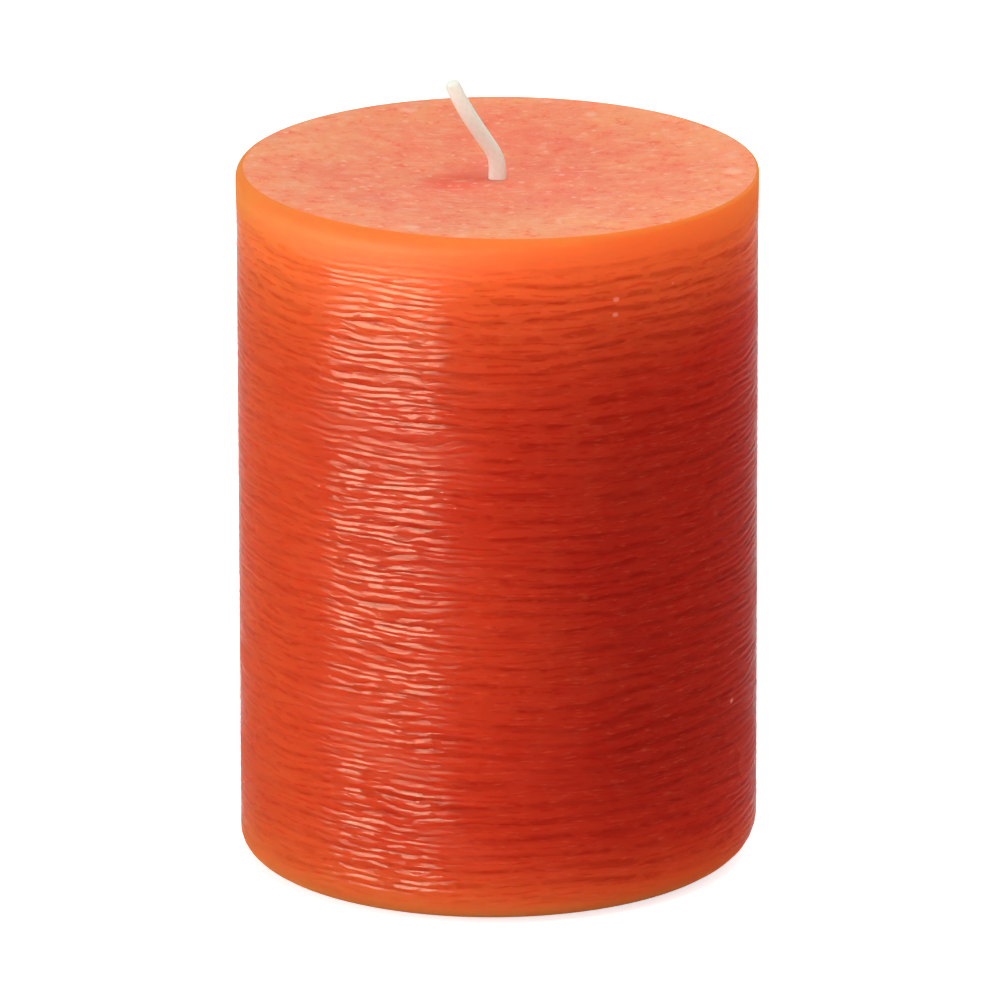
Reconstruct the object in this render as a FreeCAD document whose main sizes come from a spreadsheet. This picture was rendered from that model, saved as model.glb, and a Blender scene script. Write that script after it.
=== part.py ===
"""Pillar candle: a solid cylinder of dyed wax with a braided wick through its middle, held at the foot
by a sheet-metal wick sustainer that is pressed up into the base.

Lengths are in millimetres and angles in degrees. +Z is up. The origin is the centre of the base.
The front of the candle faces -Y, and the bare end of the wick leans towards -X.
"""

import FreeCAD, Part
import math
import os
import Sketcher

# Driving sizes. Each has its own cell in the document's sheet, with the note beside it.
SIZES = {
    "candle_diameter": (70.0, "outside of the wax body"),
    "candle_height": (95.0, "base to top rim"),
    "top_rim_radius": (0.8, "rounding of the top edge"),
    "base_rim_radius": (4.0, "rounding of the edge round the base"),
    "rim_land": (1.4, "width of the level ring round the sunken top"),
    "sink_depth": (1.5, "how far the top sinks at the wick, where the cooling wax shrank"),
    "wick_width": (2.4, "waxed braid, along X"),
    "wick_thickness": (2.0, "waxed braid, along Y"),
    "wick_corner": (0.7, "rounding of the braid's four corners"),
    "wick_rise": (1.3, "upright stretch of the wick above the wax"),
    "wick_bend_radius": (5.5, "radius at which the wick leans over"),
    "wick_lean": (33.0, "lean of the wick from the vertical"),
    "wick_run": (3.9, "straight stretch of the leaning wick"),
    "wick_curl_radius": (36.0, "radius of the stretch that turns up again"),
    "wick_curl": (11.0, "angle through which the tip turns up again"),
    "sheet_thickness": (0.3, "tinned sheet of the sustainer, plate and neck"),
    "plate_diameter": (15.0, "round plate of the sustainer"),
    "plate_recess": (0.5, "underside of the plate above the base"),
    "neck_height": (4.0, "neck of the sustainer above its plate"),
    "seat_clearance": (0.1, "gap from the sustainer to the wax beside the plate and round the neck"),
}
SHEET = "Sizes"
WAX_BODY = "wax_body"
WICK = "wick"
SUSTAINER = "wick_sustainer"

# Expressions that more than one piece reads.
WAX_TOP = f"{SHEET}.candle_height - {SHEET}.sink_depth"
PLATE_TOP = f"{SHEET}.plate_recess + {SHEET}.sheet_thickness"
NECK_WIDTH = f"{SHEET}.wick_width + 2 * {SHEET}.sheet_thickness"
NECK_THICKNESS = f"{SHEET}.wick_thickness + 2 * {SHEET}.sheet_thickness"
NECK_CORNER = f"{SHEET}.wick_corner + {SHEET}.sheet_thickness"

# A sketch's own numbers for its two axes, for the ends and centre of an edge, and for its origin.
VERTICAL_AXIS, HORIZONTAL_AXIS = range(-2, 0)
START, END, CENTRE = range(1, 4)
ORIGIN = (HORIZONTAL_AXIS, START)

FULL_TURN = 360.0
QUARTER_TURN = 90.0


def make_sheet(doc):
    sheet = doc.addObject("Spreadsheet::Sheet", SHEET)
    for row, (name, (value, note)) in enumerate(SIZES.items(), start=1):
        sheet.set(f"A{row}", name)
        sheet.set(f"B{row}", str(value))
        sheet.set(f"C{row}", note)
        sheet.setAlias(f"B{row}", name)
    doc.recompute()
    return sheet


def make_body(doc, label):
    body = doc.addObject("PartDesign::Body", f"{label}_body")
    body.Label = label
    return body


def origin_feature(body, role):
    return next(feature for feature in body.Origin.OriginFeatures if feature.Role == role)


def make_sketch(body, name, plane, lift="0"):
    """A sketch on one of the body's own planes, moved off it by the expression lift."""
    sketch = body.newObject("Sketcher::SketchObject", name)
    sketch.AttachmentSupport = [(origin_feature(body, plane), "")]
    sketch.MapMode = "FlatFace"
    sketch.setExpression("AttachmentOffset.Base.z", f"({lift}) * 1 mm")
    return sketch


def value_of(sketch, expression):
    """What an expression on the sheet comes to now, as a plain number."""
    result = sketch.evalExpression(expression)
    return float(getattr(result, "Value", result))


def dimension(sketch, name, kind, where, expression):
    """A named dimension of the sketch, bound to an expression on the sheet."""
    value = value_of(sketch, expression)
    if kind == "Angle":
        value = math.radians(value)
    index = sketch.addConstraint(Sketcher.Constraint(kind, *where, value))
    sketch.renameConstraint(index, name)
    sketch.setExpression(f"Constraints.{name}", expression)


def tie(sketch, kind, *places):
    """A relation with no size of its own, such as Coincident or Tangent, for each place given."""
    for place in places:
        sketch.addConstraint(Sketcher.Constraint(kind, *place))


def line(start, end):
    return Part.LineSegment(FreeCAD.Vector(*start, 0), FreeCAD.Vector(*end, 0))


def arc(centre, radius, start, end):
    """An arc that runs anticlockwise about its centre, from the start angle to the end angle."""
    circle = Part.Circle(FreeCAD.Vector(*centre, 0), FreeCAD.Vector(0, 0, 1), radius)
    return Part.ArcOfCircle(circle, math.radians(start), math.radians(end))


def draw_rounded_box(sketch, width, depth, corner):
    """A rectangle with four round corners, centred on the sketch's origin."""
    x = value_of(sketch, width) / 2
    y = value_of(sketch, depth) / 2
    r = value_of(sketch, corner)
    bottom, right, top, left = range(4)
    sketch.addGeometry([
        line((r - x, -y), (x - r, -y)),
        line((x, r - y), (x, y - r)),
        line((x - r, y), (r - x, y)),
        line((-x, y - r), (-x, r - y)),
    ])
    corners = sketch.addGeometry([
        arc((x - r, r - y), r, -QUARTER_TURN, 0),
        arc((x - r, y - r), r, 0, QUARTER_TURN),
        arc((r - x, y - r), r, QUARTER_TURN, 2 * QUARTER_TURN),
        arc((r - x, r - y), r, 2 * QUARTER_TURN, 3 * QUARTER_TURN),
    ])
    sides = (bottom, right, top, left)
    for number, rounding in enumerate(corners):
        before, after = sides[number], sides[(number + 1) % len(sides)]
        tie(sketch, "Tangent", (before, END, rounding, START), (rounding, END, after, START))
    tie(sketch, "Equal", *[(corners[0], other) for other in corners[1:]])
    tie(sketch, "Horizontal", (bottom,), (top,))
    tie(sketch, "Vertical", (right,), (left,))
    tie(sketch, "Symmetric", (bottom, START, top, START, *ORIGIN))
    dimension(sketch, "corner", "Radius", (corners[0],), corner)
    dimension(sketch, "width", "DistanceX", (left, START, right, START), width)
    dimension(sketch, "depth", "DistanceY", (bottom, START, top, START), depth)


def extrude(body, kind, sketch, length=None):
    """A Pad or Pocket from the sketch towards +Z, to a length or through everything."""
    feature = body.newObject(f"PartDesign::{kind}", f"{sketch.Name}_{kind.lower()}")
    feature.Profile = (sketch, [""])
    feature.Reversed = kind == "Pocket"
    if length is None:
        feature.Type = "ThroughAll"
    else:
        feature.setExpression("Length", f"({length}) * 1 mm")
    body.Tip = feature
    return feature


def cut(body, sketch, length=None):
    """A Pocket that must take wax or metal away."""
    body.Document.recompute()
    volume = body.Shape.Volume
    extrude(body, "Pocket", sketch, length)
    body.Document.recompute()
    if not body.Shape.Volume < volume:
        raise RuntimeError(f"{sketch.Name} cuts nothing from {body.Label}")


def make_wax_body(doc):
    """The wax: one solid, turned from its half section, with a seat for the sustainer underneath and
    the channel that the wick fills.
    """
    body = make_body(doc, WAX_BODY)
    section = make_sketch(body, "wax_section", "XZ_Plane")
    radius = value_of(section, f"{SHEET}.candle_diameter / 2")
    height = value_of(section, f"{SHEET}.candle_height")
    top_rim = value_of(section, f"{SHEET}.top_rim_radius")
    base_rim = value_of(section, f"{SHEET}.base_rim_radius")
    sink = value_of(section, f"{SHEET}.sink_depth")
    dish_edge = radius - top_rim - value_of(section, f"{SHEET}.rim_land")
    seat = value_of(section, f"{SHEET}.plate_diameter / 2 + {SHEET}.seat_clearance")
    seat_top = value_of(section, PLATE_TOP)

    dish_radius = (dish_edge ** 2 + sink ** 2) / (2 * sink)
    dish_half_angle = math.degrees(math.asin(dish_edge / dish_radius))
    dish_centre = (0, height - sink + dish_radius)
    axis, dish, land, top_edge, side, base_edge, base, seat_wall, ceiling = section.addGeometry([
        line((0, seat_top), (0, height - sink)),
        arc(dish_centre, dish_radius, -QUARTER_TURN, -QUARTER_TURN + dish_half_angle),
        line((dish_edge, height), (radius - top_rim, height)),
        arc((radius - top_rim, height - top_rim), top_rim, 0, QUARTER_TURN),
        line((radius, height - top_rim), (radius, base_rim)),
        arc((radius - base_rim, base_rim), base_rim, -QUARTER_TURN, 0),
        line((radius - base_rim, 0), (seat, 0)),
        line((seat, 0), (seat, seat_top)),
        line((seat, seat_top), (0, seat_top)),
    ])
    tie(
        section, "Coincident",
        (axis, END, dish, START), (dish, END, land, START), (base, END, seat_wall, START),
        (seat_wall, END, ceiling, START), (ceiling, END, axis, START),
    )
    tie(
        section, "Tangent",
        (land, END, top_edge, END), (top_edge, START, side, START),
        (side, END, base_edge, END), (base_edge, START, base, START),
    )
    tie(
        section, "PointOnObject",
        (axis, START, VERTICAL_AXIS), (axis, END, VERTICAL_AXIS), (dish, CENTRE, VERTICAL_AXIS),
        (base, START, HORIZONTAL_AXIS),
    )
    tie(section, "Horizontal", (land,), (base,), (ceiling,))
    tie(section, "Vertical", (side,), (seat_wall,))
    dimension(section, "radius", "DistanceX", (*ORIGIN, side, START), f"{SHEET}.candle_diameter / 2")
    dimension(section, "height", "DistanceY", (*ORIGIN, land, START), f"{SHEET}.candle_height")
    dimension(section, "top_rim", "Radius", (top_edge,), f"{SHEET}.top_rim_radius")
    dimension(section, "base_rim", "Radius", (base_edge,), f"{SHEET}.base_rim_radius")
    dimension(section, "land", "DistanceX", (land, START, land, END), f"{SHEET}.rim_land")
    dimension(section, "sink", "DistanceY", (dish, START, dish, END), f"{SHEET}.sink_depth")
    dimension(
        section, "seat", "DistanceX", (*ORIGIN, seat_wall, START),
        f"{SHEET}.plate_diameter / 2 + {SHEET}.seat_clearance",
    )
    dimension(section, "seat_top", "DistanceY", (seat_wall, START, seat_wall, END), PLATE_TOP)

    turned = body.newObject("PartDesign::Revolution", "turned_wax")
    turned.Profile = (section, [""])
    turned.ReferenceAxis = (section, ["V_Axis"])
    turned.Angle = FULL_TURN
    body.Tip = turned

    gap = f"{SHEET}.seat_clearance"
    neck_seat = make_sketch(body, "neck_seat", "XY_Plane")
    draw_rounded_box(
        neck_seat, f"{NECK_WIDTH} + 2 * {gap}", f"{NECK_THICKNESS} + 2 * {gap}", f"{NECK_CORNER} + {gap}"
    )
    cut(body, neck_seat, f"{PLATE_TOP} + {SHEET}.neck_height + {gap}")

    channel = make_sketch(body, "wick_channel", "XY_Plane")
    draw_rounded_box(
        channel, f"{SHEET}.wick_width", f"{SHEET}.wick_thickness", f"{SHEET}.wick_corner"
    )
    cut(body, channel)
    return body


def make_wick(doc):
    """The wick: one waxed braid from the sustainer's underside to its bare leaning end."""
    body = make_body(doc, WICK)
    path = make_sketch(body, "wick_path", "XZ_Plane")
    foot = value_of(path, f"{SHEET}.plate_recess")
    bend_start = value_of(path, f"{WAX_TOP} + {SHEET}.wick_rise")
    bend = value_of(path, f"{SHEET}.wick_bend_radius")
    lean = value_of(path, f"{SHEET}.wick_lean")
    run_length = value_of(path, f"{SHEET}.wick_run")
    curl_radius = value_of(path, f"{SHEET}.wick_curl_radius")
    curl = value_of(path, f"{SHEET}.wick_curl")

    across = math.cos(math.radians(lean))
    along = math.sin(math.radians(lean))
    bend_end = (bend * (across - 1), bend_start + bend * along)
    run_end = (bend_end[0] - run_length * along, bend_end[1] + run_length * across)
    curl_centre = (run_end[0] + curl_radius * across, run_end[1] + curl_radius * along)
    half_turn = 2 * QUARTER_TURN
    upright, bent, run, tip = path.addGeometry([
        line((0, foot), (0, bend_start)),
        arc((-bend, bend_start), bend, 0, lean),
        line(bend_end, run_end),
        arc(curl_centre, curl_radius, half_turn + lean - curl, half_turn + lean),
    ])
    tie(
        path, "Tangent",
        (upright, END, bent, START), (bent, END, run, START), (run, END, tip, END),
    )
    tie(path, "PointOnObject", (upright, START, VERTICAL_AXIS))
    tie(path, "Vertical", (upright,))
    dimension(path, "foot", "DistanceY", (*ORIGIN, upright, START), f"{SHEET}.plate_recess")
    dimension(path, "rise", "DistanceY", (*ORIGIN, upright, END), f"{WAX_TOP} + {SHEET}.wick_rise")
    dimension(path, "bend", "Radius", (bent,), f"{SHEET}.wick_bend_radius")
    dimension(path, "lean", "Angle", (bent,), f"{SHEET}.wick_lean")
    dimension(path, "run", "Distance", (run,), f"{SHEET}.wick_run")
    dimension(path, "curl_radius", "Radius", (tip,), f"{SHEET}.wick_curl_radius")
    dimension(path, "curl", "Angle", (tip,), f"{SHEET}.wick_curl")

    braid = make_sketch(body, "braid_section", "XY_Plane", f"{SHEET}.plate_recess")
    draw_rounded_box(
        braid, f"{SHEET}.wick_width", f"{SHEET}.wick_thickness", f"{SHEET}.wick_corner"
    )
    swept = body.newObject("PartDesign::AdditivePipe", "braid")
    swept.Profile = (braid, [""])
    swept.Spine = (path, [])
    body.Tip = swept
    return body


def make_sustainer(doc):
    """The wick sustainer: a round plate with a neck drawn up from it and crimped round the wick."""
    body = make_body(doc, SUSTAINER)
    plate = make_sketch(body, "plate", "XY_Plane", f"{SHEET}.plate_recess")
    radius = value_of(plate, f"{SHEET}.plate_diameter / 2")
    rim = plate.addGeometry(Part.Circle(FreeCAD.Vector(0, 0, 0), FreeCAD.Vector(0, 0, 1), radius))
    tie(plate, "Coincident", (rim, CENTRE, *ORIGIN))
    dimension(plate, "diameter", "Diameter", (rim,), f"{SHEET}.plate_diameter")
    extrude(body, "Pad", plate, f"{SHEET}.sheet_thickness")

    neck = make_sketch(body, "neck", "XY_Plane", f"{SHEET}.plate_recess")
    draw_rounded_box(neck, NECK_WIDTH, NECK_THICKNESS, NECK_CORNER)
    extrude(body, "Pad", neck, f"{SHEET}.sheet_thickness + {SHEET}.neck_height")

    hole = make_sketch(body, "wick_hole", "XY_Plane")
    draw_rounded_box(
        hole, f"{SHEET}.wick_width", f"{SHEET}.wick_thickness", f"{SHEET}.wick_corner"
    )
    cut(body, hole)
    return body


def check(doc, bodies):
    """Stop if a feature failed or a piece is not one sound solid."""
    for item in doc.Objects:
        if {"Invalid", "Error"} & set(item.State):
            raise RuntimeError(f"{item.Label} has failed: {item.State}")
    for body in bodies:
        shape = body.Shape
        if shape.isNull() or not shape.isValid() or len(shape.Solids) != 1:
            raise RuntimeError(f"{body.Label} is not one sound solid")


def main():
    doc = FreeCAD.newDocument("pillar_candle")
    make_sheet(doc)
    bodies = [make_wax_body(doc), make_wick(doc), make_sustainer(doc)]
    for body in bodies:
        body.Placement = FreeCAD.Placement()
    doc.recompute()
    check(doc, bodies)
    os.makedirs("parts", exist_ok=True)
    for body in bodies:
        body.Shape.exportStep(f"parts/{body.Label}.step")
        print(body.Label, round(body.Shape.Volume, 3), body.Shape.BoundBox)


main()
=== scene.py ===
"""Pillar candle: brushed dyed wax, a leaning waxed wick and a tinned sustainer in the base.

Lengths are in metres. +Z is up, the front faces -Y, and the candle stands on z = 0.
"""

import math

import bpy
from mathutils import Matrix, Vector


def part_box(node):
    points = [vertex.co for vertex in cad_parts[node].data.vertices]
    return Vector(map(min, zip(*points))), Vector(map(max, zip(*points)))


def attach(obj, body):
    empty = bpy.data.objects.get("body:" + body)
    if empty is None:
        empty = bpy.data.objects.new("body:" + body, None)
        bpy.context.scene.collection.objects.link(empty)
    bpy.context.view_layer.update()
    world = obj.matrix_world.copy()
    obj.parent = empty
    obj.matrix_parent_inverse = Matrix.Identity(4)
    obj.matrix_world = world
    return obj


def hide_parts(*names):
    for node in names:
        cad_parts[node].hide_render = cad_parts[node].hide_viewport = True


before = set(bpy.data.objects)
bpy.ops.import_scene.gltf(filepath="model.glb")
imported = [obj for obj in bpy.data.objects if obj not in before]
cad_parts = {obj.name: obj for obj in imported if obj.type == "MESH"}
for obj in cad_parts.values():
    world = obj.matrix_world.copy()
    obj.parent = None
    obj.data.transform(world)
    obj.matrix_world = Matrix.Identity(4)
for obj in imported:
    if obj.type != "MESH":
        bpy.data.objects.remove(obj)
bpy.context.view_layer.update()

MM = 0.001
TURN = 2 * math.pi


# The wax body. One casting of dyed candle wax, solid but for the wick's channel and the sustainer's
# seat. Its top is trimmed flat and has sunk towards the wick; its side was brushed as it turned, which
# left broken ridges round it and a smooth band at each end; its rims are rounded by hand.

_, wax_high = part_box("wax_body")
plate_low, plate_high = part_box("wick_sustainer")
wick_low, wick_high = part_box("wick")
WAX_RADIUS = wax_high.x
WAX_HEIGHT = wax_high.z
SINK_DEPTH = 1.5 * MM
RIM_LAND = 1.4 * MM
TOP_RIM_CRISP = 0.35 * MM
TOP_RIM_SOFT = 2.4 * MM
SOFT_RIM_AT = math.radians(-124)
SOFT_RIM_SPREAD = math.radians(52)
BASE_RIM = 4.1 * MM
BASE_RIM_SPREAD = 0.9 * MM
WICK_HALF_WIDTH = 1.2 * MM
WICK_HALF_THICKNESS = wick_high.y
WICK_SQUARENESS = 0.75
SOAKED_DEPTH = 0.85 * MM
WICK_OVERLAP = 0.1 * MM
MENISCUS_RISE = 0.1 * MM
MENISCUS_REACH = 1.3 * MM
MENISCUS_RIGHT_SHARE = 1.6
SEAT_GAP = 0.1 * MM
PLATE_RADIUS = plate_high.x
PLATE_THICKNESS = 0.3 * MM
PLATE_TOP = plate_low.z + PLATE_THICKNESS
NECK_HALF_WIDTH = 1.5 * MM
NECK_TOP = plate_high.z

COLUMNS = 176
TOP_ROWS = 16
RIM_ROWS = 6
SIDE_ROWS = 520
BASE_ROWS = 5
SIDE_SKIN = 1
TRIMMED_SKIN = 0

RIDGE_PITCH = 1.08 * MM
RIDGE_LENGTH = 5.0 * MM
RIDGE_DEPTH = 0.07 * MM
RIDGE_WAVER = 4.5
RIDGE_SEED = 3.0
BROAD_PITCH = 2.4 * MM
BROAD_LENGTH = 9.0 * MM
BROAD_WAVER = 3.4
BROAD_SEED = 17.0
LOWER_FLANK = 0.42
BROKEN_LEVEL = 0.45
SKIN_DEPTH = 0.06 * MM
BRUSHED_FROM = 6.0 * MM
BRUSHED_TO = 88.0 * MM
BRUSHED_FADE = 5.0 * MM
SIDE_SCATTER = 25.0 * MM
TRIMMED_SCATTER = 5.0 * MM
SHEEN_SHARE = 0.004
# The side's colour is paler for a painted glow under the top and over the base, and darker for painted
# shade between them on the right.
PAINTED_TOP_GLOW_DEPTH = 30.0 * MM
PAINTED_BASE_GLOW_HEIGHT = 16.0 * MM
PAINTED_SHADE_BELOW_TOP = 34.0 * MM
PAINTED_SHADE_ABOVE_BASE = 20.0 * MM
RED_PATCH_LENGTH = 5.5 * MM
RED_PATCH_WIDTH = 1.0 * MM


def wick_reach(angle, half_width, half_thickness):
    """How far the wick's rounded section reaches from its middle at an angle."""
    x = half_width * abs(math.cos(angle)) ** WICK_SQUARENESS
    y = half_thickness * abs(math.sin(angle)) ** WICK_SQUARENESS
    return math.hypot(x, y)


def steps(first, last, count):
    """count values from first to last, both included."""
    return [first + (last - first) * step / (count - 1) for step in range(count)]


def angle_between(a, b):
    return abs((a - b + math.pi) % TURN - math.pi)


def top_rim_radius(angle):
    softness = math.exp(-(angle_between(angle, SOFT_RIM_AT) / SOFT_RIM_SPREAD) ** 2)
    return TOP_RIM_CRISP + (TOP_RIM_SOFT - TOP_RIM_CRISP) * softness


def wax_outline(angle):
    """(radius, height, skin) of each row at one angle: out over the top, down the side, in under the
    base, round the sustainer's seat and up the wick's channel.
    """
    wick_face = wick_reach(angle, WICK_HALF_WIDTH, WICK_HALF_THICKNESS)
    channel = wick_reach(angle, WICK_HALF_WIDTH - SOAKED_DEPTH, WICK_HALF_THICKNESS - SOAKED_DEPTH)
    top_rim = top_rim_radius(angle)
    base_rim = BASE_RIM + BASE_RIM_SPREAD * math.cos(angle)
    dish_edge = WAX_RADIUS - TOP_RIM_SOFT - RIM_LAND
    rows = []

    def put(radius, z, skin=TRIMMED_SKIN):
        rows.append((radius, z, skin))

    put(channel, WAX_HEIGHT - SINK_DEPTH * (1 - (channel / dish_edge) ** 2) + MENISCUS_RISE)
    to_right = max(0.0, math.cos(angle)) ** 4
    meniscus = MENISCUS_REACH * (1 + MENISCUS_RIGHT_SHARE * to_right)
    for share in steps(0, 1, TOP_ROWS):
        radius = wick_face - WICK_OVERLAP + (dish_edge - wick_face) * share ** 2
        climb = min(1.0, max(0.0, 1 - (radius - wick_face) / meniscus)) ** 2
        sunk = SINK_DEPTH * (1 - (radius / dish_edge) ** 2)
        put(radius, WAX_HEIGHT - sunk + MENISCUS_RISE * climb)
    put(WAX_RADIUS - top_rim, WAX_HEIGHT)
    for turn in steps(0, math.pi / 2, RIM_ROWS)[1:-1]:
        put(
            WAX_RADIUS - top_rim + top_rim * math.sin(turn),
            WAX_HEIGHT - top_rim + top_rim * math.cos(turn), SIDE_SKIN,
        )
    for z in steps(WAX_HEIGHT - top_rim, base_rim, SIDE_ROWS):
        put(WAX_RADIUS, z, SIDE_SKIN)
    for turn in steps(0, math.pi / 2, RIM_ROWS + 2)[1:]:
        put(
            WAX_RADIUS - base_rim + base_rim * math.cos(turn),
            base_rim - base_rim * math.sin(turn), SIDE_SKIN,
        )
    seat = PLATE_RADIUS + SEAT_GAP
    neck = NECK_HALF_WIDTH + SEAT_GAP
    for radius in steps(WAX_RADIUS - base_rim, seat, BASE_ROWS)[1:]:
        put(radius, 0)
    put(seat, PLATE_TOP)
    put(neck, PLATE_TOP)
    put(neck, NECK_TOP + SEAT_GAP)
    put(channel, NECK_TOP + SEAT_GAP)
    return rows


def revolve(name, outline, columns):
    """A closed mesh from one closed outline for each column, with each face's skin number."""
    outlines = [outline(TURN * column / columns) for column in range(columns)]
    row_count = len(outlines[0])
    vertices = []
    for column, rows in enumerate(outlines):
        angle = TURN * column / columns
        vertices += [(r * math.cos(angle), r * math.sin(angle), z) for r, z, _ in rows]
    faces, skins = [], []
    for column in range(columns):
        here, there = column * row_count, (column + 1) % columns * row_count
        for row in range(row_count):
            below = (row + 1) % row_count
            faces.append((here + row, here + below, there + below, there + row))
            skins.append(outlines[0][below][2] if below else TRIMMED_SKIN)
    mesh = bpy.data.meshes.new(name)
    mesh.from_pydata(vertices, [], faces)
    mesh.attributes.new("skin", "INT", "FACE").data.foreach_set("value", skins)
    mesh.update()
    return mesh


def show(name, data):
    piece = bpy.data.objects.new(name, data)
    bpy.context.scene.collection.objects.link(piece)
    return piece


def node(tree, kind, **settings):
    made = tree.nodes.new(kind)
    for setting, value in settings.items():
        setattr(made, setting, value)
    return made


def feed(tree, socket, source):
    """Link source to socket, or set the socket where source is a plain value."""
    if isinstance(source, bpy.types.NodeSocket):
        tree.links.new(source, socket)
    else:
        socket.default_value = source


def math_of(tree, operation, *sources, clamp=False):
    """One Math node, for shader and geometry trees alike."""
    made = node(tree, "ShaderNodeMath", operation=operation, use_clamp=clamp)
    for socket, source in zip(made.inputs, sources):
        feed(tree, socket, source)
    return made.outputs[0]


def product(tree, first, *others):
    """All the values multiplied together."""
    for other in others:
        first = math_of(tree, "MULTIPLY", first, other)
    return first


def vector_math(tree, operation, *sources, scale=None):
    """One Vector Math node. LENGTH and DISTANCE give a value, the others a vector. Only SCALE has a
    scale.
    """
    made = node(tree, "ShaderNodeVectorMath", operation=operation)
    for socket, source in zip(made.inputs, sources):
        feed(tree, socket, source)
    if scale is not None:
        feed(tree, made.inputs["Scale"], scale)
    return made.outputs["Value" if operation in ("LENGTH", "DISTANCE") else "Vector"]


def axes_of(tree, vector):
    """The X, Y and Z of a vector."""
    made = node(tree, "ShaderNodeSeparateXYZ")
    feed(tree, made.inputs[0], vector)
    return made.outputs


def vector_of(tree, *axes):
    """A vector from its X, Y and Z. What is left out is 0."""
    made = node(tree, "ShaderNodeCombineXYZ")
    for socket, source in zip(made.inputs, axes):
        feed(tree, socket, source)
    return made.outputs[0]


def ramp_of(tree, value, low, high, low_out=0.0, high_out=1.0, kind="SMOOTHSTEP"):
    """A value's place between low and high, as a step from low_out to high_out, smooth or linear."""
    made = node(tree, "ShaderNodeMapRange", interpolation_type=kind)
    for name, source in {
        "Value": value, "From Min": low, "From Max": high, "To Min": low_out, "To Max": high_out,
    }.items():
        feed(tree, made.inputs[name], source)
    return made.outputs["Result"]


def noise_of(tree, vector, seed, detail=1.0, roughness=0.5):
    """Four-dimensional noise about 0.5. The seed is the place along its fourth axis."""
    made = node(tree, "ShaderNodeTexNoise", noise_dimensions="4D")
    for name, source in {
        "Vector": vector, "W": seed, "Scale": 1.0, "Detail": detail, "Roughness": roughness,
    }.items():
        feed(tree, made.inputs[name], source)
    return made.outputs[0]


def stretched(tree, vector, across, along):
    """A vector divided by one length in X and Y and by another in Z."""
    x, y, z = axes_of(tree, vector)
    return vector_of(
        tree, math_of(tree, "DIVIDE", x, across), math_of(tree, "DIVIDE", y, across),
        math_of(tree, "DIVIDE", z, along),
    )


def geometry_tree(name, inputs):
    """A Geometry Nodes tree with a geometry in and out and the named inputs (name, kind, value)."""
    tree = bpy.data.node_groups.new(name, "GeometryNodeTree")
    tree.interface.new_socket("Geometry", in_out="INPUT", socket_type="NodeSocketGeometry")
    for label, kind, value in inputs:
        socket = tree.interface.new_socket(label, in_out="INPUT", socket_type=f"NodeSocket{kind}")
        if value is not None:
            socket.default_value = value
    tree.interface.new_socket("Geometry", in_out="OUTPUT", socket_type="NodeSocketGeometry")
    return tree, node(tree, "NodeGroupInput").outputs, node(tree, "NodeGroupOutput").inputs


def run_tree(piece, tree, **values):
    """The plain mesh that the tree makes of the piece, with each named input set first."""
    modifier = piece.modifiers.new(tree.name, "NODES")
    modifier.node_group = tree
    for item in tree.interface.items_tree:
        label = item.name.replace(" ", "_").lower()
        if item.in_out == "INPUT" and label in values:
            modifier[item.identifier] = values[label]
    evaluated = piece.evaluated_get(bpy.context.evaluated_depsgraph_get())
    mesh = bpy.data.meshes.new_from_object(evaluated)
    mesh.name = piece.name
    piece.modifiers.clear()
    return mesh


def mark(tree, geometry, label, value):
    """The geometry with a value stored on its points under a name."""
    kept = node(tree, "GeometryNodeStoreNamedAttribute", data_type="FLOAT", domain="POINT")
    kept.inputs["Name"].default_value = label
    feed(tree, kept.inputs["Geometry"], geometry)
    feed(tree, kept.inputs["Value"], value)
    return kept.outputs[0]


def dressed_in(tree, geometry, material, selection=True):
    """The geometry with a material on its selected faces."""
    made = node(tree, "GeometryNodeSetMaterial")
    feed(tree, made.inputs["Geometry"], geometry)
    feed(tree, made.inputs["Selection"], selection)
    feed(tree, made.inputs["Material"], material)
    return made.outputs[0]


def brush_marks(tree, position, pitch, length, waver, seed):
    """Broken ridges, from 0 in a furrow to 1 on a crest, for shader and geometry trees alike. Their
    phase climbs with height and wavers, so that they fork and close up. The upper flank is the broad one.
    """
    waver_place = stretched(tree, position, product(tree, length, 3.5), product(tree, pitch, 5.0))
    bend = math_of(tree, "SUBTRACT", noise_of(tree, waver_place, seed, 3.0), 0.5)
    climb = math_of(tree, "DIVIDE", axes_of(tree, position)[2], pitch)
    place = math_of(tree, "FRACT", math_of(tree, "ADD", climb, product(tree, bend, waver)))
    lower_flank = math_of(tree, "DIVIDE", place, LOWER_FLANK)
    upper_flank = math_of(tree, "DIVIDE", math_of(tree, "SUBTRACT", 1.0, place), 1 - LOWER_FLANK)
    crest = math_of(tree, "SMOOTH_MIN", lower_flank, upper_flank, 0.15, clamp=True)
    break_place = stretched(tree, position, product(tree, length, 0.45), pitch)
    breaks = noise_of(tree, break_place, math_of(tree, "ADD", seed, 31.0), 2.0)
    kept = ramp_of(tree, breaks, 0.42, 0.55, 0.05, 1.0)
    above_level = math_of(tree, "SUBTRACT", crest, BROKEN_LEVEL)
    return math_of(tree, "ADD", BROKEN_LEVEL, product(tree, above_level, kept))


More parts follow.
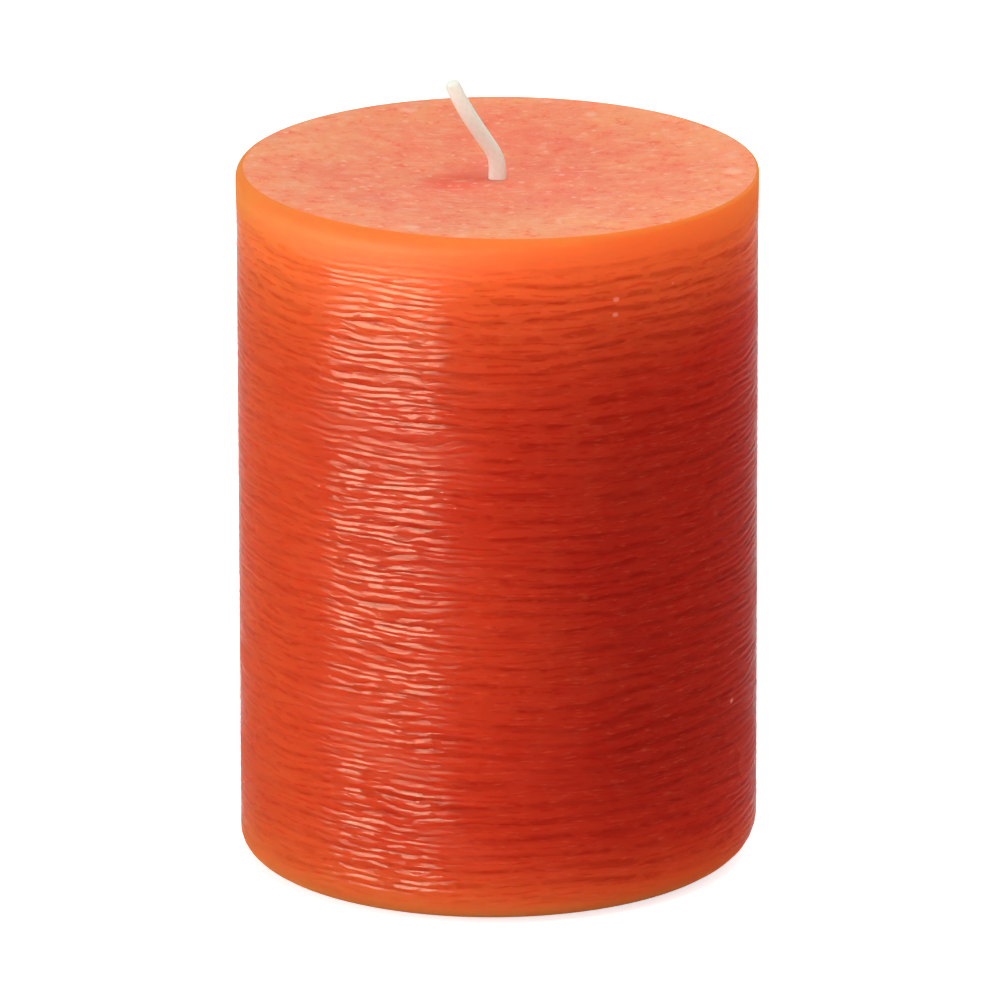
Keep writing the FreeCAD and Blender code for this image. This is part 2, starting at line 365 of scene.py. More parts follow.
def brushing_tree():
    """Cuts the brushed ridges into the faces of the side skin and gives each skin its material."""
    tree, given, out = geometry_tree("brush_the_side", [
        ("Ridge Pitch", "Float", RIDGE_PITCH),
        ("Ridge Length", "Float", RIDGE_LENGTH),
        ("Ridge Depth", "Float", RIDGE_DEPTH),
        ("Waver", "Float", RIDGE_WAVER),
        ("Skin Depth", "Float", SKIN_DEPTH),
        ("Low Band", "Float", BRUSHED_FROM),
        ("High Band", "Float", BRUSHED_TO),
        ("Fade", "Float", BRUSHED_FADE),
        ("Seed", "Float", RIDGE_SEED),
        ("Side Wax", "Material", None),
        ("Trimmed Wax", "Material", None),
    ])
    position = node(tree, "GeometryNodeInputPosition").outputs[0]
    x, y, z = axes_of(tree, position)
    ridge = brush_marks(
        tree, position, given["Ridge Pitch"], given["Ridge Length"], given["Waver"], given["Seed"]
    )

    patch_seed = math_of(tree, "ADD", given["Seed"], 23.0)
    patchy = noise_of(tree, stretched(tree, position, 18 * MM, 6 * MM), patch_seed)
    low_edge = math_of(tree, "SUBTRACT", given["Low Band"], given["Fade"])
    high_edge = math_of(tree, "ADD", given["High Band"], given["Fade"])
    wander = product(tree, math_of(tree, "SUBTRACT", patchy, 0.5), given["Fade"])
    uneven_z = math_of(tree, "ADD", z, wander)
    brushed = product(
        tree,
        ramp_of(tree, uneven_z, low_edge, given["Low Band"]),
        ramp_of(tree, uneven_z, given["High Band"], high_edge, 1.0, 0.0),
    )
    strength = product(tree, brushed, ramp_of(tree, patchy, 0.25, 0.6, 0.55, 1.0))

    furrow = product(tree, math_of(tree, "SUBTRACT", 1.0, ridge), given["Ridge Depth"], strength)
    inward = math_of(tree, "ADD", furrow, product(tree, given["Skin Depth"], brushed))
    outward = vector_math(tree, "NORMALIZE", vector_of(tree, x, y))
    offset = vector_math(tree, "SCALE", outward, scale=product(tree, inward, -1.0))

    skin = node(tree, "GeometryNodeInputNamedAttribute", data_type="INT")
    skin.inputs["Name"].default_value = "skin"
    on_side = node(tree, "FunctionNodeCompare", data_type="INT", operation="EQUAL")
    feed(tree, on_side.inputs[2], skin.outputs[0])
    on_side.inputs[3].default_value = SIDE_SKIN
    moved = node(tree, "GeometryNodeSetPosition")
    feed(tree, moved.inputs["Geometry"], given["Geometry"])
    feed(tree, moved.inputs["Selection"], on_side.outputs[0])
    feed(tree, moved.inputs["Offset"], offset)
    realized = node(tree, "GeometryNodeRealizeInstances")
    feed(tree, realized.inputs[0], mark(tree, moved.outputs[0], "brushed", strength))
    trimmed = dressed_in(tree, realized.outputs[0], given["Trimmed Wax"])
    feed(tree, out[0], dressed_in(tree, trimmed, given["Side Wax"], on_side.outputs[0]))
    return tree


def dye(red, green, blue):
    """A colour from its 0 to 255 values, as the shader's linear light."""
    def linear(value):
        value /= 255
        return value / 12.92 if value <= 0.04045 else ((value + 0.055) / 1.055) ** 2.4

    return (linear(red), linear(green), linear(blue), 1.0)


# Painted shade: the furrow, broad-band and right tints darken the wax where shade falls. The thin dye is
# also the painted glow by the rims.
PAINTED_FURROW_SHADE = (0.86, 0.6, 0.5, 1.0)
PAINTED_BROAD_SHADE = (0.76, 0.56, 0.48, 1.0)
PAINTED_RIGHT_SHADE = (0.73, 0.6, 0.7, 1.0)
SHEEN_TINT = (1.0, 0.92, 0.62, 1.0)
DEEP_DYE = dye(189, 35, 19)
THIN_DYE_AND_PAINTED_GLOW = dye(255, 124, 56)
STREAK_TONE = dye(255, 130, 96)
FLECK_TONE = dye(255, 180, 150)
TRIMMED_DEEP = dye(250, 116, 94)
TRIMMED_THIN = dye(255, 148, 106)
SMEAR_TONE = dye(250, 86, 58)
CRUMB_TONE = dye(255, 192, 168)


def new_material(name):
    """A new material, its tree and its Principled node."""
    material = bpy.data.materials.new(name)
    material.use_nodes = True
    return material, material.node_tree, material.node_tree.nodes["Principled BSDF"]


def set_inputs(made, values):
    """Set a node's own sockets to plain values."""
    for label, value in values.items():
        made.inputs[label].default_value = value


def bump_of(tree, height, strength, distance):
    """A normal from a height mask. Distance is how high a mask of 1 stands."""
    made = node(tree, "ShaderNodeBump")
    set_inputs(made, {"Strength": strength, "Distance": distance})
    feed(tree, made.inputs["Height"], height)
    return made.outputs[0]


def shader_group(name, inputs, outputs):
    tree = bpy.data.node_groups.new(name, "ShaderNodeTree")
    for label, kind, value in inputs:
        socket = tree.interface.new_socket(label, in_out="INPUT", socket_type=f"NodeSocket{kind}")
        if value is not None:
            socket.default_value = value
    for label, kind in outputs:
        tree.interface.new_socket(label, in_out="OUTPUT", socket_type=f"NodeSocket{kind}")
    return tree, node(tree, "NodeGroupInput").outputs, node(tree, "NodeGroupOutput").inputs


def use_group(tree, group, **values):
    """Place a group in a material. Each value goes to the input of that name."""
    made = node(tree, "ShaderNodeGroup", node_tree=group)
    for label, source in values.items():
        feed(tree, made.inputs[label.replace("_", " ").title()], source)
    return made.outputs


def mix_of(tree, share, first, second, blend="MIX"):
    """A colour between first and second."""
    made = node(tree, "ShaderNodeMix", data_type="RGBA", blend_type=blend)
    feed(tree, made.inputs["Factor"], share)
    feed(tree, made.inputs[6], first)
    feed(tree, made.inputs[7], second)
    return made.outputs[2]


def flecks_group():
    """Small pale flecks: crystals and crumbs of wax, in a share of the cells only."""
    tree, given, out = shader_group(
        "wax_flecks",
        [("Vector", "Vector", None), ("Cell", "Float", 1.5 * MM), ("Stretch", "Float", 1.0),
         ("Share", "Float", 0.2), ("Size", "Float", 0.25)],
        [("Mask", "Float")],
    )
    cell_width = product(tree, given["Cell"], given["Stretch"])
    cells = node(tree, "ShaderNodeTexVoronoi", voronoi_dimensions="3D", feature="F1")
    feed(tree, cells.inputs["Vector"], stretched(tree, given["Vector"], cell_width, given["Cell"]))
    cells.inputs["Scale"].default_value = 1.0
    lot = node(tree, "ShaderNodeSeparateColor")
    feed(tree, lot.inputs[0], cells.outputs["Color"])
    chosen = math_of(tree, "LESS_THAN", lot.outputs[0], given["Share"])
    reach = product(tree, given["Size"], math_of(tree, "ADD", 0.4, lot.outputs[1]))
    near = ramp_of(tree, cells.outputs["Distance"], product(tree, reach, 0.4), reach, 1.0, 0.0)
    feed(tree, out["Mask"], product(tree, near, chosen))
    return tree


def scuffs_group():
    """Fine pale scuffs, one way across the surface, gathered in patches."""
    tree, given, out = shader_group(
        "wax_scuffs",
        [("Vector", "Vector", None), ("Turn", "Float", 0.0), ("Length", "Float", 2 * MM),
         ("Width", "Float", 0.3 * MM), ("Threshold", "Float", 0.6)],
        [("Mask", "Float")],
    )
    turned = node(tree, "ShaderNodeVectorRotate", rotation_type="Z_AXIS")
    feed(tree, turned.inputs["Vector"], given["Vector"])
    feed(tree, turned.inputs["Angle"], given["Turn"])
    x, y, _ = axes_of(tree, turned.outputs[0])
    drawn = vector_of(
        tree, math_of(tree, "DIVIDE", x, given["Length"]), math_of(tree, "DIVIDE", y, given["Width"])
    )
    lines = noise_of(tree, drawn, given["Turn"])
    patches = noise_of(tree, stretched(tree, given["Vector"], 5 * MM, 5 * MM), given["Turn"], 2.0)
    soft_edge = math_of(tree, "ADD", given["Threshold"], 0.15)
    feed(tree, out["Mask"], product(
        tree, ramp_of(tree, lines, given["Threshold"], soft_edge), ramp_of(tree, patches, 0.45, 0.62)
    ))
    return tree


def mottle_group():
    """Uneven dye: soft clouds between a deep and a thin colour."""
    tree, given, out = shader_group(
        "uneven_dye",
        [("Vector", "Vector", None), ("Deep", "Color", None), ("Thin", "Color", None),
         ("Thinness", "Float", 0.0), ("Cloud", "Float", 12 * MM), ("Swing", "Float", 0.3)],
        [("Color", "Color")],
    )
    clouds = noise_of(tree, stretched(tree, given["Vector"], given["Cloud"], given["Cloud"]), 5.0, 3.0)
    swing = product(tree, math_of(tree, "SUBTRACT", clouds, 0.5), given["Swing"])
    share = math_of(tree, "ADD", given["Thinness"], swing, clamp=True)
    feed(tree, out["Color"], mix_of(tree, share, given["Deep"], given["Thin"]))
    return tree


flecks = flecks_group()
scuffs = scuffs_group()
mottle = mottle_group()


def wax_material(name, scatter):
    """A new wax material: its tree, its Principled node and its Object coordinates. Scatter is how far
    red light travels in the wax.
    """
    material, tree, wax = new_material(name)
    wax.subsurface_method = "RANDOM_WALK"
    set_inputs(wax, {
        "IOR": 1.43, "Specular IOR Level": 0.004, "Subsurface Weight": 1.0,
        "Subsurface Radius": (1.0, 0.12, 0.05), "Subsurface Scale": scatter,
    })
    place = node(tree, "ShaderNodeTexCoord").outputs["Object"]
    return material, tree, wax, place


def side_colour_with_painted_light(tree, place):
    """The side's colour, with painted light: a painted glow by both rims, painted light on the left and
    painted shade on the right between the rims.
    """
    x, _, z = axes_of(tree, place)
    near_top = ramp_of(tree, z, WAX_HEIGHT - PAINTED_TOP_GLOW_DEPTH, WAX_HEIGHT, kind="LINEAR")
    near_base = ramp_of(tree, z, PAINTED_BASE_GLOW_HEIGHT, 0.0, kind="LINEAR")
    # Painted glow: the colour turns paler towards the top and base rims, for light that shines through the
    # wax's edges.
    painted_rim_glow = math_of(
        tree, "ADD",
        product(tree, math_of(tree, "POWER", near_top, 2.6), 0.92),
        product(tree, math_of(tree, "POWER", near_base, 3.0), 0.62),
    )
    # Painted light and shade: the colour is paler on the left, towards the lamps, and deeper on the right.
    painted_light_by_side = ramp_of(tree, x, -WAX_RADIUS, WAX_RADIUS, 0.26, -0.08, kind="LINEAR")
    base_tone = use_group(
        tree, mottle, vector=place, deep=DEEP_DYE, thin=THIN_DYE_AND_PAINTED_GLOW,
        thinness=math_of(tree, "ADD", painted_rim_glow, painted_light_by_side), cloud=14 * MM, swing=0.2,
    )["Color"]
    # Painted shade: between the two rims the right side is darkened by a multiplied tint.
    below_top = ramp_of(
        tree, z, WAX_HEIGHT - 10 * MM, WAX_HEIGHT - PAINTED_SHADE_BELOW_TOP, kind="LINEAR"
    )
    above_base = ramp_of(tree, z, 3 * MM, PAINTED_SHADE_ABOVE_BASE, kind="LINEAR")
    on_right = ramp_of(tree, x, -0.1 * WAX_RADIUS, 0.5 * WAX_RADIUS, kind="LINEAR")
    right_shade_share = product(tree, below_top, above_base, on_right)
    return mix_of(tree, right_shade_share, base_tone, PAINTED_RIGHT_SHADE, blend="MULTIPLY")


def side_wax():
    """Brushed wax: translucent, with painted shade in its furrows and broad bands, stronger on the right,
    and a thin even gloss on its ridges.
    """
    material, tree, wax, place = wax_material("brushed_wax", SIDE_SCATTER)
    brushed = node(tree, "ShaderNodeAttribute", attribute_name="brushed").outputs["Fac"]
    ridge = brush_marks(tree, place, RIDGE_PITCH, RIDGE_LENGTH, RIDGE_WAVER, RIDGE_SEED)
    # Painted shade: the colour darkens in the furrows between the ridges.
    furrow = product(tree, ramp_of(tree, ridge, 0.5, 0.0), brushed)
    broad = brush_marks(tree, place, BROAD_PITCH, BROAD_LENGTH, BROAD_WAVER, BROAD_SEED)
    x, _, _ = axes_of(tree, place)
    # Painted shade in the broad furrows, stronger on the right, away from the lamps.
    painted_light_by_side = ramp_of(tree, x, -WAX_RADIUS, 0.4 * WAX_RADIUS, 0.5, 1.0, kind="LINEAR")
    band = product(tree, ramp_of(tree, broad, 0.62, 0.15), brushed, painted_light_by_side)
    furrow_shaded = mix_of(tree, furrow, side_colour_with_painted_light(tree, place), PAINTED_FURROW_SHADE, blend="MULTIPLY")
    broad_shaded = mix_of(tree, band, furrow_shaded, PAINTED_BROAD_SHADE, blend="MULTIPLY")
    streaks = noise_of(tree, stretched(tree, place, 2 * MM, 0.3 * MM), 2.0, 3.0)
    streaked = mix_of(tree, ramp_of(tree, streaks, 0.55, 0.75, 0.0, 0.12), broad_shaded, STREAK_TONE)
    pale = use_group(tree, flecks, vector=place, cell=5 * MM, stretch=1.5, share=0.16, size=0.07)["Mask"]
    feed(tree, wax.inputs["Base Color"], mix_of(tree, product(tree, pale, 0.35), streaked, FLECK_TONE))

    roughness = ramp_of(tree, brushed, 0.0, 1.0, 0.6, 0.2)
    relief = product(tree, math_of(tree, "ADD", ridge, product(tree, streaks, 0.55)), brushed)
    bump = bump_of(tree, relief, 1.0, 0.09 * MM)
    sheen = node(tree, "ShaderNodeBsdfAnisotropic")
    sheen.inputs["Color"].default_value = SHEEN_TINT
    for shader in (wax, sheen):
        feed(tree, shader.inputs["Roughness"], roughness)
        feed(tree, shader.inputs["Normal"], bump)
    polished = node(tree, "ShaderNodeMixShader")
    polished.inputs[0].default_value = SHEEN_SHARE
    feed(tree, polished.inputs[1], wax.outputs[0])
    feed(tree, polished.inputs[2], sheen.outputs[0])
    feed(tree, tree.nodes["Material Output"].inputs["Surface"], polished.outputs[0])
    return material


def red_patch(tree, flat):
    """Where the top is redder, just left of the wick: 0.55 at its middle, 0 beyond its edge."""
    sized = stretched(tree, flat, RED_PATCH_LENGTH, RED_PATCH_WIDTH)
    from_smear = vector_math(tree, "DISTANCE", sized, (-1.0, -0.3, 0.0))
    return ramp_of(tree, from_smear, 1.1, 0.3, 0.0, 0.55)


def pale_marks(tree, place, smears):
    """Crumbs, shavings, smears and scuffs that the trimming left on the top."""
    crumbs = use_group(tree, flecks, vector=place, cell=1.6 * MM, stretch=1.0, share=0.4, size=0.3)["Mask"]
    shavings = use_group(
        tree, flecks, vector=place, cell=3.4 * MM, stretch=1.8, share=0.25, size=0.3
    )["Mask"]
    pale = product(tree, math_of(tree, "MAXIMUM", crumbs, shavings), 0.8)
    pale = math_of(tree, "MAXIMUM", pale, ramp_of(tree, smears, 0.52, 0.68, 0.0, 0.65))
    for turn, length, strength in ((4, 4.5, 0.6), (-12, 3.4, 0.6), (20, 3.8, 0.5)):
        marks = use_group(
            tree, scuffs, vector=place, turn=math.radians(turn), length=length * MM, width=0.9 * MM,
            threshold=0.58,
        )["Mask"]
        pale = math_of(tree, "MAXIMUM", pale, product(tree, marks, strength))
    return pale


def trimmed_wax():
    """Trimmed wax: cut faces, oranger towards the rim, dulled by crumbs, flecks and fine scuffs."""
    material, tree, wax, place = wax_material("trimmed_wax", TRIMMED_SCATTER)
    x, y, _ = axes_of(tree, place)
    flat = vector_of(tree, x, y)
    by_rim = ramp_of(tree, vector_math(tree, "LENGTH", flat), 12 * MM, WAX_RADIUS, 0.3, 0.85)
    base_tone = use_group(
        tree, mottle, vector=place, deep=TRIMMED_DEEP, thin=TRIMMED_THIN,
        thinness=by_rim, cloud=9 * MM, swing=2.0,
    )["Color"]
    smears = noise_of(tree, stretched(tree, place, 2.4 * MM, 2.4 * MM), 12.0, 5.0, 0.75)
    redder = math_of(tree, "MAXIMUM", ramp_of(tree, smears, 0.5, 0.3, 0.0, 0.7), red_patch(tree, flat))
    reddened = mix_of(tree, redder, base_tone, SMEAR_TONE)
    pale = pale_marks(tree, place, smears)
    feed(tree, wax.inputs["Base Color"], mix_of(tree, product(tree, pale, 0.5), reddened, CRUMB_TONE))
    grain = noise_of(tree, stretched(tree, place, 0.5 * MM, 0.5 * MM), 8.0, 4.0)
    feed(tree, wax.inputs["Roughness"], ramp_of(tree, grain, 0.3, 0.7, 0.34, 0.55))
    feed(tree, wax.inputs["Normal"], bump_of(tree, math_of(tree, "ADD", grain, pale), 0.6, 0.06 * MM))
    return material


rough_wax = show("rough_wax", revolve("rough_wax", wax_outline, COLUMNS))
wax_body = show("brushed_wax_body", run_tree(
    rough_wax, brushing_tree(), side_wax=side_wax(), trimmed_wax=trimmed_wax(),
))
bpy.data.objects.remove(rough_wax)
wax_body.data.shade_smooth()
wax_body.data.set_sharp_from_angle(angle=math.radians(55))
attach(wax_body, "root")
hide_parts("wax_body")


# The wick. One braid of cotton yarns, dipped in wax so that it stands by itself. It runs from the
# sustainer up through the wax, leaves the top upright and leans over to its bare end.

WICK_FOOT = wick_low.z
WICK_RISE = 1.3 * MM
WICK_BEND_RADIUS = 5.5 * MM
WICK_LEAN = math.radians(33)
WICK_RUN = 3.9 * MM
WICK_CURL_RADIUS = 36 * MM
WICK_CURL = math.radians(11)
WICK_RINGS = 640
WICK_SIDES = 56
YARNS_EACH_WAY = 7
YARN_LEAD = 9.5 * MM
YARN_RELIEF = 0.035 * MM
WICK_TIP_ROUNDING = 0.9 * MM
COATED_ABOVE_WAX = 0.5 * MM
COAT_FADE = 3.5 * MM
BARE_SHARE = 0.87
SHADED_YARN_TONE = dye(234, 240, 222)
CREST_TONE = dye(240, 244, 230)
FIBRE_TONE = dye(244, 245, 236)


def wick_route():
    """Points along the wick's middle: up, round the bend, along the lean and up the tip's curl."""
    top = WAX_HEIGHT - SINK_DEPTH + WICK_RISE
    points = [Vector((0, 0, z)) for z in steps(WICK_FOOT, top, 60)]
    points += [
        Vector((WICK_BEND_RADIUS * (math.cos(turn) - 1), 0, top + WICK_BEND_RADIUS * math.sin(turn)))
        for turn in steps(0, WICK_LEAN, 16)[1:]
    ]
    ahead = Vector((-math.sin(WICK_LEAN), 0, math.cos(WICK_LEAN)))
    points.append(points[-1] + ahead * WICK_RUN)
    centre = points[-1] + Vector((math.cos(WICK_LEAN), 0, math.sin(WICK_LEAN))) * WICK_CURL_RADIUS
    points += [
        centre - Vector((math.cos(turn), 0, math.sin(turn))) * WICK_CURL_RADIUS
        for turn in steps(WICK_LEAN, WICK_LEAN - WICK_CURL, 16)[1:]
    ]
    return points


def curve_through(name, points):
    curve = bpy.data.curves.new(name, "CURVE")
    curve.dimensions = "3D"
    spline = curve.splines.new("POLY")
    spline.points.add(len(points) - 1)
    for place, point in zip(spline.points, points):
        place.co = (*point, 1)
    return curve


def braid_tree():
    """Sweeps a braid along the curve: yarns of two hands cross over and under, under a coat of wax."""
    tree, given, out = geometry_tree("braid_along_curve", [
        ("Half Width", "Float", WICK_HALF_WIDTH),
        ("Half Thickness", "Float", WICK_HALF_THICKNESS),
        ("Squareness", "Float", WICK_SQUARENESS),
        ("Yarns Each Way", "Int", YARNS_EACH_WAY),
        ("Yarn Lead", "Float", YARN_LEAD),
        ("Relief", "Float", YARN_RELIEF),
        ("Wax Fill", "Float", 0.7),
        ("Tip Rounding", "Float", WICK_TIP_ROUNDING),
        ("Bare From", "Float", WAX_HEIGHT - SINK_DEPTH - WICK_FOOT + COATED_ABOVE_WAX),
        ("Bare Share", "Float", BARE_SHARE),
        ("Rings", "Int", WICK_RINGS),
        ("Sides", "Int", WICK_SIDES),
        ("Material", "Material", None),
    ])
    length = node(tree, "GeometryNodeCurveLength")
    feed(tree, length.inputs[0], given["Geometry"])
    sheet = node(tree, "GeometryNodeMeshGrid")
    set_inputs(sheet, {"Size X": 1.0, "Size Y": 1.0})
    feed(tree, sheet.inputs["Vertices X"], given["Rings"])
    feed(tree, sheet.inputs["Vertices Y"], given["Sides"])
    sheet_x, sheet_y, _ = axes_of(tree, node(tree, "GeometryNodeInputPosition").outputs[0])
    share = math_of(tree, "ADD", sheet_x, 0.5, clamp=True)
    around = math_of(tree, "ADD", sheet_y, 0.5)
    run = product(tree, share, length.outputs[0])

    leads = math_of(tree, "DIVIDE", run, given["Yarn Lead"])
    turns = product(tree, around, given["Yarns Each Way"])
    climb = product(tree, leads, given["Yarns Each Way"])
    right_hand = math_of(tree, "COSINE", product(tree, math_of(tree, "ADD", turns, climb), math.pi))
    left_hand = math_of(tree, "COSINE", product(tree, math_of(tree, "SUBTRACT", turns, climb), math.pi))
    crossing = product(tree, right_hand, left_hand, 0.45)
    over = product(tree, math_of(tree, "ABSOLUTE", right_hand), math_of(tree, "ADD", 1.0, crossing))
    under = product(tree, math_of(tree, "ABSOLUTE", left_hand), math_of(tree, "SUBTRACT", 1.0, crossing))
    yarn = math_of(tree, "SMOOTH_MAX", over, under, 0.2)
    coated = math_of(tree, "SMOOTH_MAX", yarn, math_of(tree, "ADD", given["Wax Fill"], 0.3), 0.3)
    sunk = product(tree, math_of(tree, "SUBTRACT", coated, 1.45), given["Relief"])

    to_tip = math_of(tree, "SUBTRACT", length.outputs[0], run)
    to_end = math_of(tree, "DIVIDE", to_tip, given["Tip Rounding"])
    tip = math_of(tree, "SUBTRACT", 1.0, to_end, clamp=True)
    rounding = math_of(tree, "SQRT", math_of(tree, "SUBTRACT", 1.0, math_of(tree, "POWER", tip, 2.2)))
    foot = ramp_of(tree, share, 0.0, math_of(tree, "DIVIDE", 0.999, given["Rings"]), kind="LINEAR")
    bare_end = math_of(tree, "ADD", given["Bare From"], COAT_FADE)
    coat = ramp_of(tree, run, given["Bare From"], bare_end, 1.0, given["Bare Share"])
    closing = product(tree, rounding, foot, coat)

    angle = product(tree, around, TURN)
    offsets = []
    for function, half in (("COSINE", given["Half Width"]), ("SINE", given["Half Thickness"])):
        wave = math_of(tree, function, angle)
        power = math_of(tree, "POWER", math_of(tree, "ABSOLUTE", wave), given["Squareness"])
        reach = product(tree, math_of(tree, "SIGN", wave), power)
        offsets.append(product(tree, reach, math_of(tree, "ADD", half, sunk), closing))
    line = node(tree, "GeometryNodeSampleCurve", mode="FACTOR", use_all_curves=True)
    feed(tree, line.inputs["Curves"], given["Geometry"])
    feed(tree, line.inputs["Factor"], share)
    sideways = vector_math(tree, "CROSS_PRODUCT", line.outputs["Tangent"], (0.0, 1.0, 0.0))
    across = vector_math(tree, "SCALE", sideways, scale=offsets[0])
    on_line = vector_math(tree, "ADD", line.outputs["Position"], across)
    settled = vector_math(tree, "ADD", on_line, vector_of(tree, 0.0, offsets[1]))

    moved = node(tree, "GeometryNodeSetPosition")
    feed(tree, moved.inputs["Geometry"], mark(tree, sheet.outputs["Mesh"], "yarn", yarn))
    feed(tree, moved.inputs["Position"], settled)
    welded = node(tree, "GeometryNodeMergeByDistance")
    feed(tree, welded.inputs["Geometry"], moved.outputs[0])
    welded.inputs["Distance"].default_value = 0.002 * MM
    realized = node(tree, "GeometryNodeRealizeInstances")
    feed(tree, realized.inputs[0], welded.outputs[0])
    feed(tree, out[0], dressed_in(tree, realized.outputs[0], given["Material"]))
    return tree


def waxed_cotton():
    """Bleached cotton soaked in clear wax: cream, a little see-through, with painted shade between the
    yarns.
    """
    material, tree, cotton = new_material("waxed_cotton")
    cotton.subsurface_method = "RANDOM_WALK"
    set_inputs(cotton, {
        "IOR": 1.44, "Specular IOR Level": 0.1, "Subsurface Weight": 0.3,
        "Subsurface Radius": (1.0, 0.9, 0.8), "Subsurface Scale": 0.8 * MM,
    })
    place = node(tree, "ShaderNodeTexCoord").outputs["Object"]
    yarn = node(tree, "ShaderNodeAttribute", attribute_name="yarn").outputs["Fac"]
    fibres = noise_of(tree, stretched(tree, place, 0.14 * MM, 1.2 * MM), 4.0, 3.0)
    # Painted shade: the colour is darker between the yarns and paler on their crests.
    tone = mix_of(tree, ramp_of(tree, yarn, 0.35, 1.1), SHADED_YARN_TONE, CREST_TONE)
    drawn = ramp_of(tree, fibres, 0.35, 0.7, 0.0, 0.4)
    feed(tree, cotton.inputs["Base Color"], mix_of(tree, drawn, tone, FIBRE_TONE))
    feed(tree, cotton.inputs["Roughness"], ramp_of(tree, fibres, 0.3, 0.7, 0.6, 0.8))
    feed(tree, cotton.inputs["Normal"], bump_of(tree, fibres, 0.4, 0.04 * MM))
    return material


route = show("wick_route", curve_through("wick_route", wick_route()))
wick = show("braided_wick", run_tree(route, braid_tree(), material=waxed_cotton()))
bpy.data.objects.remove(route)
wick.data.shade_smooth()
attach(wick, "root")
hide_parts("wick")


# The wick sustainer. A round plate of tin-plated steel with a neck drawn up from its middle, crimped
# round the wick's foot and pressed into the warm base. It shows only from below.

TIN_DULL = dye(196, 194, 188)
TIN_BRIGHT = dye(226, 225, 221)


def tinned_sheet():
    """Tin plate: pale and satin, with the faint rings of its pressing and a few dull patches."""
    material, tree, tin = new_material("tinned_sheet")
    tin.inputs["Metallic"].default_value = 1.0
    place = node(tree, "ShaderNodeTexCoord").outputs["Object"]
    clouds = noise_of(tree, stretched(tree, place, 3 * MM, 3 * MM), 6.0, 4.0)
    feed(tree, tin.inputs["Base Color"], mix_of(tree, clouds, TIN_DULL, TIN_BRIGHT))
    feed(tree, tin.inputs["Roughness"], ramp_of(tree, clouds, 0.3, 0.7, 0.26, 0.42))
    rings = node(tree, "ShaderNodeTexWave", wave_type="RINGS", rings_direction="Z")
    feed(tree, rings.inputs["Vector"], place)
    rings.inputs["Scale"].default_value = 0.25 / MM
    feed(tree, tin.inputs["Normal"], bump_of(tree, rings.outputs[1], 0.3, 0.03 * MM))
    return material


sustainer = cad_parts["wick_sustainer"]
sustainer.data.materials.clear()
sustainer.data.materials.append(tinned_sheet())


# The studio. White paper that keeps the candle's shadow; soft lamps at the front left, overhead, at the
# right, behind and low in front; a bright card that only reflections see, for the strip of dashes on the
# side; weak even light; and a camera a little above the candle's top.

FLOOR_HALF_WIDTH = 2.0
FLOOR_LEVEL = -0.1 * MM
FLOOR_TONE = 0.8
FLOOR_GLOW = 0.72
FILL_STRENGTH = 0.02
CAMERA_DISTANCE = 1.897
CAMERA_ELEVATION = 17.61
CAMERA_ROLL = math.radians(-0.126)
CAMERA_LENS = 507.3
CAMERA_SHIFT = (0.00197, 0.00687)
CENTRE = Vector((0, 0, WAX_HEIGHT / 2))


def background_rays(tree):
    """1 for the rays that should find a white background: the camera's, reflected and refracted."""
    rays = node(tree, "ShaderNodeLightPath").outputs
    mirrored = math_of(tree, "MAXIMUM", rays["Is Glossy Ray"], rays["Is Transmission Ray"])
    return math_of(tree, "MAXIMUM", rays["Is Camera Ray"], mirrored)


def pale_floor():
    """Matt white paper. The camera sees it a little brighter, so that only the shadow shows."""
    material, tree, paper = new_material("pale_floor")
    set_inputs(paper, {
        "Base Color": (FLOOR_TONE, FLOOR_TONE, FLOOR_TONE, 1), "Roughness": 0.9, "Specular IOR Level": 0.0,
    })
    glow = node(tree, "ShaderNodeEmission")
    feed(tree, glow.inputs["Strength"], product(tree, background_rays(tree), FLOOR_GLOW))
    both = node(tree, "ShaderNodeAddShader")
    feed(tree, both.inputs[0], paper.outputs[0])
    feed(tree, both.inputs[1], glow.outputs[0])
    feed(tree, tree.nodes["Material Output"].inputs["Surface"], both.outputs[0])
    return material


corners = [
    (side * FLOOR_HALF_WIDTH, depth * FLOOR_HALF_WIDTH, FLOOR_LEVEL)
    for side, depth in ((-1, -1), (1, -1), (1, 1), (-1, 1))
]
floor_mesh = bpy.data.meshes.new("floor")
floor_mesh.from_pydata(corners, [], [(0, 1, 2, 3)])
floor_mesh.materials.append(pale_floor())
floor = show("floor", floor_mesh)

world = bpy.data.worlds.new("studio")
world.use_nodes = True
bpy.context.scene.world = world
surround = world.node_tree.nodes["Background"]
surround.inputs["Color"].default_value = (1, 1, 1, 1)
feed(world.node_tree, surround.inputs["Strength"], ramp_of(
    world.node_tree, background_rays(world.node_tree), 0.0, 1.0, FILL_STRENGTH, 1.0, kind="LINEAR"
))


def aim(piece, place, target, roll=0.0):
    """Put a lamp or camera at a place, looking at a target."""
    turn = (target - place).to_track_quat("-Z", "Y").to_matrix().to_4x4()
    piece.matrix_world = Matrix.Translation(place) @ turn @ Matrix.Rotation(roll, 4, "Z")


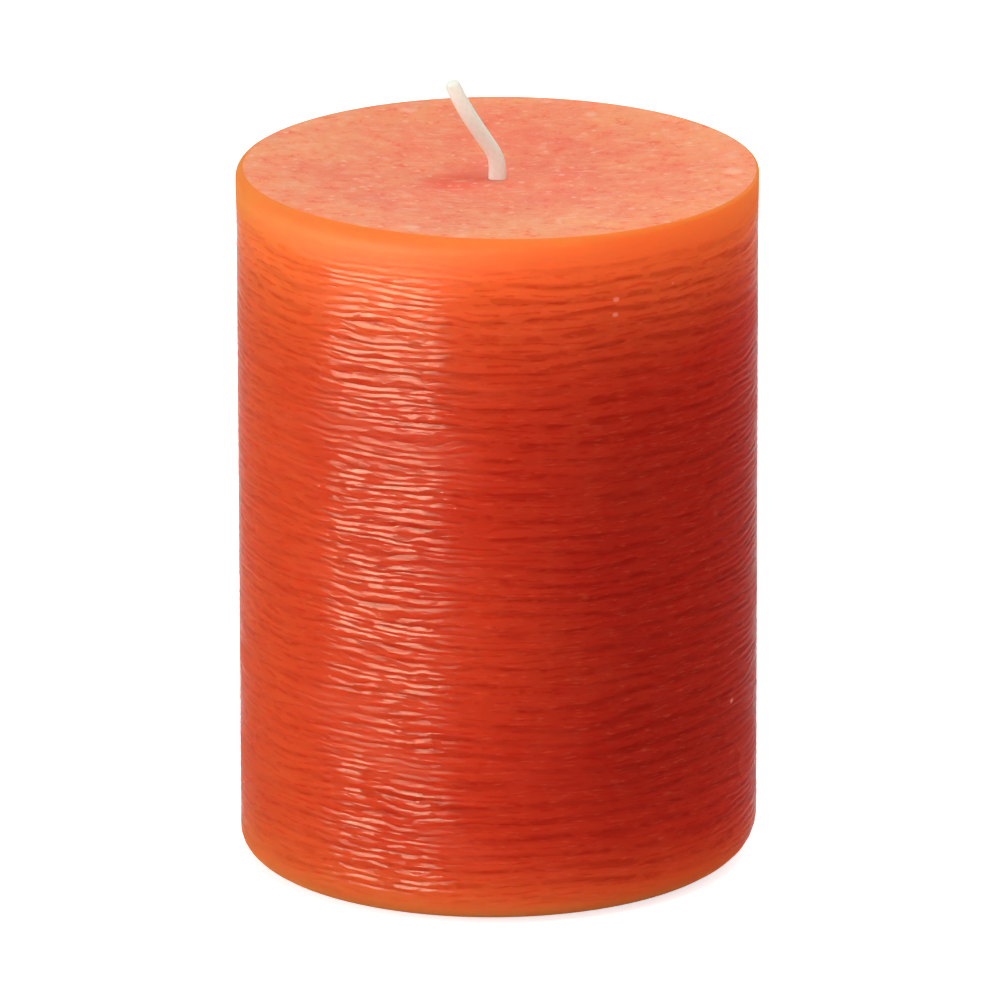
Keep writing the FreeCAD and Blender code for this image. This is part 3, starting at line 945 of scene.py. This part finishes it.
def around_candle(distance, azimuth, elevation):
    """A place seen from the candle's middle, in degrees. Azimuth 0 is the front, positive to the right."""
    azimuth, elevation = math.radians(azimuth), math.radians(elevation)
    level = distance * math.cos(elevation)
    return CENTRE + Vector(
        (level * math.sin(azimuth), -level * math.cos(azimuth), distance * math.sin(elevation))
    )


def soft_lamp(name, radiance, size, place, in_gloss=True, card=False):
    """A rectangular lamp that faces the candle. Its radiance is in the scene's own light level. A lamp
    with in_gloss off isn't reflected, and a card is only reflected. The camera sees none of them.
    """
    lamp = bpy.data.lights.new(name, "AREA")
    lamp.shape = "RECTANGLE"
    lamp.size, lamp.size_y = size
    lamp.energy = radiance * math.pi * size[0] * size[1]
    piece = show(name, lamp)
    piece.visible_camera = False
    piece.visible_glossy = in_gloss
    piece.visible_diffuse = piece.visible_transmission = not card
    aim(piece, place, CENTRE)


soft_lamp("front_left_lamp", 2.95, (0.7, 0.6), around_candle(0.9, -50, 24))
soft_lamp("front_left_sheen", 88.0, (0.55, 0.38), around_candle(0.6, -50, 4), card=True)
soft_lamp("high_front_lamp", 4.5, (0.5, 0.5), CENTRE + Vector((0.0, -0.35, 0.95)))
soft_lamp("high_right_lamp", 2.8, (0.5, 0.5), CENTRE + Vector((0.35, 0.05, 0.95)))
soft_lamp("right_lamp", 2.8, (0.2, 0.2), CENTRE + Vector((0.3, 0.0, 0.23)), in_gloss=False)
soft_lamp("back_lamp", 3.4, (0.9, 0.5), CENTRE + Vector((0.0, 0.9, 0.25)), in_gloss=False)
soft_lamp("low_lamp", 4.6, (0.6, 0.05), around_candle(0.27, -12, -6), in_gloss=False)

camera_data = bpy.data.cameras.new("camera")
camera_data.lens = CAMERA_LENS
camera_data.shift_x, camera_data.shift_y = CAMERA_SHIFT
camera = show("camera", camera_data)
aim(camera, around_candle(CAMERA_DISTANCE, 0.0, CAMERA_ELEVATION), CENTRE, CAMERA_ROLL)
bpy.context.scene.camera = camera
bpy.context.scene.view_settings.view_transform = "Standard"
